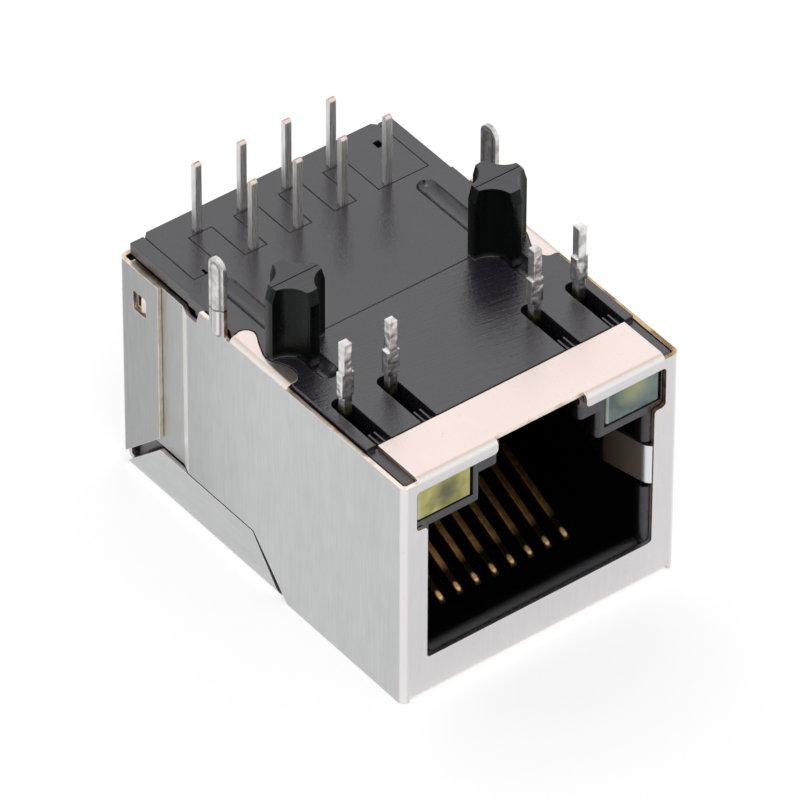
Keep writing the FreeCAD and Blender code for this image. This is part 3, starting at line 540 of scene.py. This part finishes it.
# %% Material: plated sheet, its shine and relief
roughness = weighed(tree, (lines["Lines"], 0.10), (dipped, 0.10), start=0.28)
height = weighed(tree, (bands["Lines"], 0.05), (lines["Lines"], 0.03),
                 (both(tree, pressed["Body"], on_tab), 1.0), (both(tree, mottle, dipped), 0.25))
shader.inputs["Metallic"].default_value = 1.0
finish_shader(tree, shader, colour, roughness, height, depth=0.05, edge=0.05)
dress(nodes["shield"], plated)
print("plated sheet on the shield")

# %% [markdown]
# ## Black mouldings
#
# The housing and the carrier are the same glass-filled black plastic. It looks dark grey on the
# board side, because a satin surface picks up the light above it. Forward of the parting line the
# mould was polished by hand, and its fine scratches run across the part, a little askew.

# %% Material: black plastic, its surface
PARTING_Y = 0.05
SKEW = 0.16
plastic, tree, shader = start_material("black_plastic")
x, y, z = axes(tree, millimetres(tree))
spots = use(tree, clouds_specks, cloud_size=1.6, speck_size=0.06, speck_share=0.16)
scratch_at = put(tree, "CombineXYZ", {
    0: calc(tree, "MULTIPLY", x, 0.45),
    1: calc(tree, "MULTIPLY", weighed(tree, (x, SKEW), start=y), 9.0),
    2: 0.0,
}).outputs[0]
polished = rescale(tree, y, PARTING_Y + 0.03, PARTING_Y - 0.03)
scratches = both(tree, noise(tree, scratch_at, 1.0, 5.0, 0.35, 0.65), polished)
grain = noise(tree, millimetres(tree), 9.0, 4.0)
tone = weighed(tree, (spots["Clouds"], 0.30), (scratches, 0.40), (grain, 0.30))
colour = blend(tree, tone, rgb(0.013, 0.010, 0.017), rgb(0.026, 0.021, 0.033))
colour = blend(tree, spots["Specks"], colour, grey(0.13), share=0.35)
print("surface of the black plastic")

# %% [markdown]
# Inside the port almost no light comes back, so the plastic is painted a deeper black there as
# painted shade, and so are the sides of the posts, where a dark reflection is painted. A plastic's
# shine can't be turned down from place to place, but a metal shines only as much as its colour says.
# So those places go over to a nearly black metal, which is a plastic without the shine.

# %% Material: black plastic, its dark places
PORT_X = (-6.4, 6.4)
PORT_Y = (FRONT + 0.04, FRONT + 16.1)
PORT_Z = (0.5, 12.3)
inside = both(tree, between(tree, y, *PORT_Y, 0.9), between(tree, z, *PORT_Z, 0.2),
              between(tree, x, *PORT_X, 0.1))
post_sides = rescale(tree, facing(tree)[2], 0.60, 0.80, 1.0, 0.22)
shaded_post_sides = both(tree, rescale(tree, z, SEAT, SEAT + 0.25), post_sides)
# Painted shade: the port and the sides of the posts go nearly black and lose their shine.
dark = either(tree, inside, shaded_post_sides)
black = blend(tree, shaded_post_sides, rgb(0.006, 0.007, 0.0065), rgb(0.016, 0.019, 0.0175))
colour = blend(tree, dark, colour, black)
tree.links.new(dark, shader.inputs["Metallic"])
print("dark places of the black plastic")

# %% [markdown]
# The scratches are rougher than the polish between them, and they stand in relief with the grain of
# the glass filler. The index of refraction is that of a common moulding plastic, and the shine is
# set so that the board side comes out as light as it is in the photograph.

# %% Material: black plastic, its shine and relief
roughness = weighed(tree, (scratches, 0.09), (grain, 0.05), (inside, 0.18), start=0.17)
height = weighed(tree, (scratches, 1.1), start=grain)
shader.inputs["Specular IOR Level"].default_value = 0.95
shader.inputs["IOR"].default_value = 1.54
finish_shader(tree, shader, colour, roughness, height, depth=0.004, edge=0.06)
for name in ("housing", "contact_carrier"):
    dress(nodes[name], plastic)
print("black plastic on the housing and the carrier")

# %% [markdown]
# ## Contacts
#
# Each contact is one stamped and formed wire. Its front half is gold plated, where the plug touches
# it. The hairpin nose gets one painted highlight, with a painted dark reflection of the port just
# behind it, and the arm behind that gets painted shade, darker as it goes in. The contacts stand on
# an even pitch, so one wrapped coordinate finds the highlight on all eight.

# %% Material: plated contact, its gold arm
CONTACTS = 8
CONTACT_PITCH = 1.016
NOSE_Y = FRONT + 2.84
contact_metal, tree, shader = start_material("contact_plating")
x, y, z = axes(tree, millimetres(tree))
spots = use(tree, clouds_specks, cloud_size=0.35, speck_size=0.06, speck_share=0.25)
beside = calc(tree, "WRAP", calc(tree, "MULTIPLY_ADD", x, 1 / CONTACT_PITCH, 0.5), 0.5, -0.5)
behind = calc(tree, "SUBTRACT", y, NOSE_Y)
from_spot = put(tree, "CombineXYZ", {
    0: calc(tree, "MULTIPLY", beside, 7.4),
    1: calc(tree, "MULTIPLY", behind, 4.6),
    2: 0.0,
}).outputs[0]
# Painted highlight on each nose, a painted dark reflection just behind it, and painted shade along
# the arm.
nose_highlight = rescale(tree, length(tree, from_spot), 1.15, 0.55)
arm = blend(tree, spots["Clouds"], rgb(0.56, 0.27, 0.09), rgb(0.88, 0.50, 0.16))
arm = blend(tree, rescale(tree, y, FRONT + 3.6, FRONT + 4.1), rgb(0.022, 0.014, 0.008), arm)
arm = blend(tree, rescale(tree, y, FRONT + 5.1, FRONT + 12.1), arm, rgb(0.12, 0.07, 0.03),
            share=0.7)
gold = blend(tree, nose_highlight, arm, rgb(1.0, 0.61, 0.26))
print("gold on the contacts' arms")

# %% [markdown]
# The solder pin of a contact is streaky matt tin. Its faces that look along X are painted pale and
# those that look along Y darker, as painted light and shade.
# The pin was cut off a carrier strip, so its tip shows bare copper.

# %% Material: plated contact, its solder pin
TINNED_Z = (8.0, 10.0)
TIP_Z = SEAT + 3.78
streaks = use(tree, sheet_lines, width=0.05, length=0.9)["Lines"]
up = axes(tree, put(tree, "TexCoord").outputs["Normal"])[2]
# Painted light and shade: faces that look along X are lighter than those along Y.
lit_pin_tin = blend(tree, streaks, rgb(0.68, 0.67, 0.65), rgb(0.93, 0.92, 0.90))
shaded_pin_tin = blend(tree, streaks, rgb(0.40, 0.38, 0.36), rgb(0.86, 0.84, 0.81))
tin = blend(tree, rescale(tree, facing(tree)[1], 0.4, 0.7), lit_pin_tin, shaded_pin_tin)
copper = blend(tree, spots["Clouds"], rgb(0.40, 0.24, 0.18), rgb(0.78, 0.58, 0.49))
copper = blend(tree, rescale(tree, up, 0.9, 0.75), copper, rgb(0.80, 0.69, 0.61))
tinned = rescale(tree, z, *TINNED_Z)
colour = blend(tree, tinned, gold, tin)
colour = blend(tree, rescale(tree, z, TIP_Z, TIP_Z + 0.03), colour, copper)
roughness = weighed(tree, (tinned, 0.22), start=0.30)
height = weighed(tree, (spots["Clouds"], 0.6), (streaks, 0.4))
shader.inputs["Metallic"].default_value = 1.0
finish_shader(tree, shader, colour, roughness, height, depth=0.004, edge=0.10)
for number in range(1, CONTACTS + 1):
    dress(nodes[f"contact_{number}"], contact_metal)
print("plating on the contacts")

# %% [markdown]
# The lamps' leads are lead-frame strip that was dipped in tin. The tin ran down in soft lumps, and it
# is lighter towards the top. The strip's own brass shows where the lead leaves the moulding. The
# faces that look to the front are painted darker than the sides, as painted shade, and the edges get
# a painted highlight. Below the board side the lead stands in its trench, where it is painted nearly
# black as painted shade.

# %% Material: tinned lead
TIN_TOP = (SEAT + 1.35, SEAT + 3.35)
BRASS_Z = (SEAT + 0.35, SEAT + 0.05)
TRENCH_SHADE_Z = (SEAT - 0.05, SEAT - 0.45)
lead_metal, tree, shader = start_material("tinned_lead")
z = axes(tree, millimetres(tree))[2]
spots = use(tree, clouds_specks, cloud_size=0.55, speck_size=0.10, speck_share=0.35)
lumps = noise(tree, millimetres(tree), 1.6, 1.5)
patches = rescale(tree, spots["Clouds"], 0.25, 0.70)
# Painted light and shade: front faces darker than the sides.
lit_side_tin = blend(tree, patches, rgb(0.50, 0.50, 0.49), rgb(0.90, 0.89, 0.88))
shaded_front_tin = blend(tree, patches, rgb(0.16, 0.16, 0.16), rgb(0.80, 0.79, 0.78))
brass = blend(tree, patches, rgb(0.30, 0.26, 0.12), rgb(0.62, 0.56, 0.30))
tin = blend(tree, rescale(tree, facing(tree)[1], 0.4, 0.7), lit_side_tin, shaded_front_tin)
tin = blend(tree, rescale(tree, z, *TIN_TOP), tin, rgb(0.93, 0.92, 0.91), share=0.5)
# Painted highlight along the edges.
tin = blend(tree, edge_highlight_mask(tree, 0.06), tin, rgb(0.97, 0.96, 0.95), share=0.8)
colour = blend(tree, rescale(tree, z, *BRASS_Z), tin, brass)
# Painted shade in the trench.
colour = blend(tree, rescale(tree, z, *TRENCH_SHADE_Z), colour, rgb(0.02, 0.018, 0.015))
roughness = weighed(tree, (patches, -0.10), start=0.40)
shader.inputs["Metallic"].default_value = 1.0
finish_shader(tree, shader, colour, roughness, lumps, depth=0.05, edge=0.10)
for lamp in ("led_green", "led_yellow"):
    for side in ("inner", "outer"):
        dress(nodes[f"{lamp}_lead_{side}"], lead_metal)
print("tin on the leads of the lamps")

# %% [markdown]
# ## Lamps
#
# A lamp is a small block of cloudy resin, cast round its leads. Light goes into the resin and comes
# out elsewhere, so the shader gets some subsurface scattering. The diffusing powder lies unevenly in
# it, so each lamp shows one blotch of another tone. A bright line where its side wall ends is a
# painted highlight.

# %% Material: cloudy resin of the lamps
def lamp_resin(name, lamp, deep, pale, blotch, blotch_at):
    """Resin in soft clouds between two tones, with a blotch of a third at a place on its face."""
    material, tree, shader = start_material(name)
    low, high = (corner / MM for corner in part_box(lamp))
    middle = (low + high) / 2
    centre = (middle.x + blotch_at[0], low.y, middle.z + blotch_at[1])
    clouds = use(tree, clouds_specks, cloud_size=1.2, speck_size=0.07, speck_share=0.1)["Clouds"]
    place = millimetres(tree)
    away = put(tree, "VectorMath", {0: place, 1: centre}, operation="DISTANCE").outputs["Value"]
    in_blotch = rescale(tree, weighed(tree, (clouds, 0.7), start=away), 1.5, 0.5)
    tone = blend(tree, rescale(tree, clouds, 0.15, 0.85), deep, pale)
    tone = blend(tree, in_blotch, tone, blotch)
    # Painted highlight: a bright line where the side wall ends.
    side_highlight_line = between(tree, axes(tree, place)[0], low.x - 0.1, low.x + 0.16, 0.05)
    tone = blend(tree, side_highlight_line, tone, rgb(0.78, 0.82, 0.70), share=0.5)
    shader.inputs["Subsurface Weight"].default_value = 0.35
    shader.inputs["Subsurface Radius"].default_value = (1.0, 1.0, 0.6)
    shader.inputs["Subsurface Scale"].default_value = 0.25 * MM
    shader.inputs["Roughness"].default_value = 0.25
    finish_shader(tree, shader, tone, edge=0.05)
    dress(nodes[lamp], material)


lamp_resin("lamp_yellow", "led_yellow", deep=rgb(0.44, 0.42, 0.09), pale=rgb(0.74, 0.68, 0.24),
           blotch=rgb(0.15, 0.145, 0.045), blotch_at=(0.1, -0.05))
lamp_resin("lamp_green", "led_green", deep=rgb(0.08, 0.145, 0.145), pale=rgb(0.235, 0.32, 0.28),
           blotch=rgb(0.50, 0.53, 0.24), blotch_at=(0.3, 0.6))
print("resin on the lamps")

# %% [markdown]
# ## Floor and light
#
# The part lies on a white sheet under soft studio light. The camera and the reflections see the sheet
# and the room lighter than the part does, so the background goes white while the part keeps its own
# tones and its soft shadow.

# %% Helper for what the camera sees
def seen_rays(tree):
    """Two masks: rays from the camera, and rays from the camera, a reflection or clear resin."""
    path = put(tree, "LightPath").outputs
    seen = either(tree, path["Is Camera Ray"], path["Is Glossy Ray"])
    return path["Is Camera Ray"], either(tree, seen, path["Is Transmission Ray"])


print("helper for what the camera sees")

# %% [markdown]
# The floor is one large square just under the part, and it isn't part of the object.

# %% Floor
FLOOR_HALF = 0.8
FLOOR_GAP = 0.02 * MM
floor_mesh = bpy.data.meshes.new("floor")
builder = bmesh.new()
bmesh.ops.create_grid(builder, x_segments=1, y_segments=1, size=FLOOR_HALF)
builder.to_mesh(floor_mesh)
builder.free()
floor = bpy.data.objects.new("floor", floor_mesh)
floor.location.z = -FLOOR_GAP
scene.collection.objects.link(floor)
print("floor is", 2 * FLOOR_HALF, "m wide")

# %% [markdown]
# The paper is nearly white, with faint fibres. It glows a little for the camera and the reflections
# alone, which lifts it to white without lighting the part from below.

# %% Material: paper
paper, tree, shader = start_material("paper")
from_camera, seen = seen_rays(tree)
glow = blend(tree, seen, grey(0.0), blend(tree, from_camera, grey(0.40), grey(0.47)))
fibres = noise(tree, millimetres(tree), 1.5, 3.0, 0.0, 1.0)
tree.links.new(blend(tree, fibres, grey(0.84), grey(0.86)), shader.inputs["Base Color"])
tree.links.new(glow, shader.inputs["Emission Color"])
shader.inputs["Emission Strength"].default_value = 1.0
shader.inputs["Roughness"].default_value = 0.9
shader.inputs["Specular IOR Level"].default_value = 0.0
floor_mesh.materials.append(paper)
print("paper on the floor")

# %% [markdown]
# The room is an even white, about half as strong for the part as for the camera. One large, faint
# lamp stands behind, where the board side mirrors it. A smaller and stronger one stands in front
# and high up, so that little of its light falls into the port.

# %% Room and lamps
world = bpy.data.worlds.new("room")
scene.world = world
world.use_nodes = True
tree = world.node_tree
tree.nodes.clear()
strength = rescale(tree, seen_rays(tree)[1], 0.0, 1.0, 0.55, 1.0)
background = put(tree, "Background", {"Color": grey(1.0), "Strength": strength})
put(tree, "OutputWorld", {"Surface": background.outputs[0]})


def soft_lamp(name, place, size, radiance):
    """A square lamp that faces the part. Radiance 1 looks white."""
    data = bpy.data.lights.new(name, "AREA")
    data.size = size
    data.energy = radiance * math.pi * size * size
    lamp = bpy.data.objects.new(name, data)
    scene.collection.objects.link(lamp)
    lamp.location = place
    lamp.rotation_mode = "QUATERNION"
    lamp.rotation_quaternion = (aim - lamp.location).to_track_quat("-Z", "Y")
    print(name, "gives", round(data.energy, 2), "W")


soft_lamp("lamp behind", Vector((0.25, 0.32, 0.36)), size=0.45, radiance=0.15)
soft_lamp("lamp in front", Vector((-0.10, -0.30, 0.60)), size=0.30, radiance=1.8)
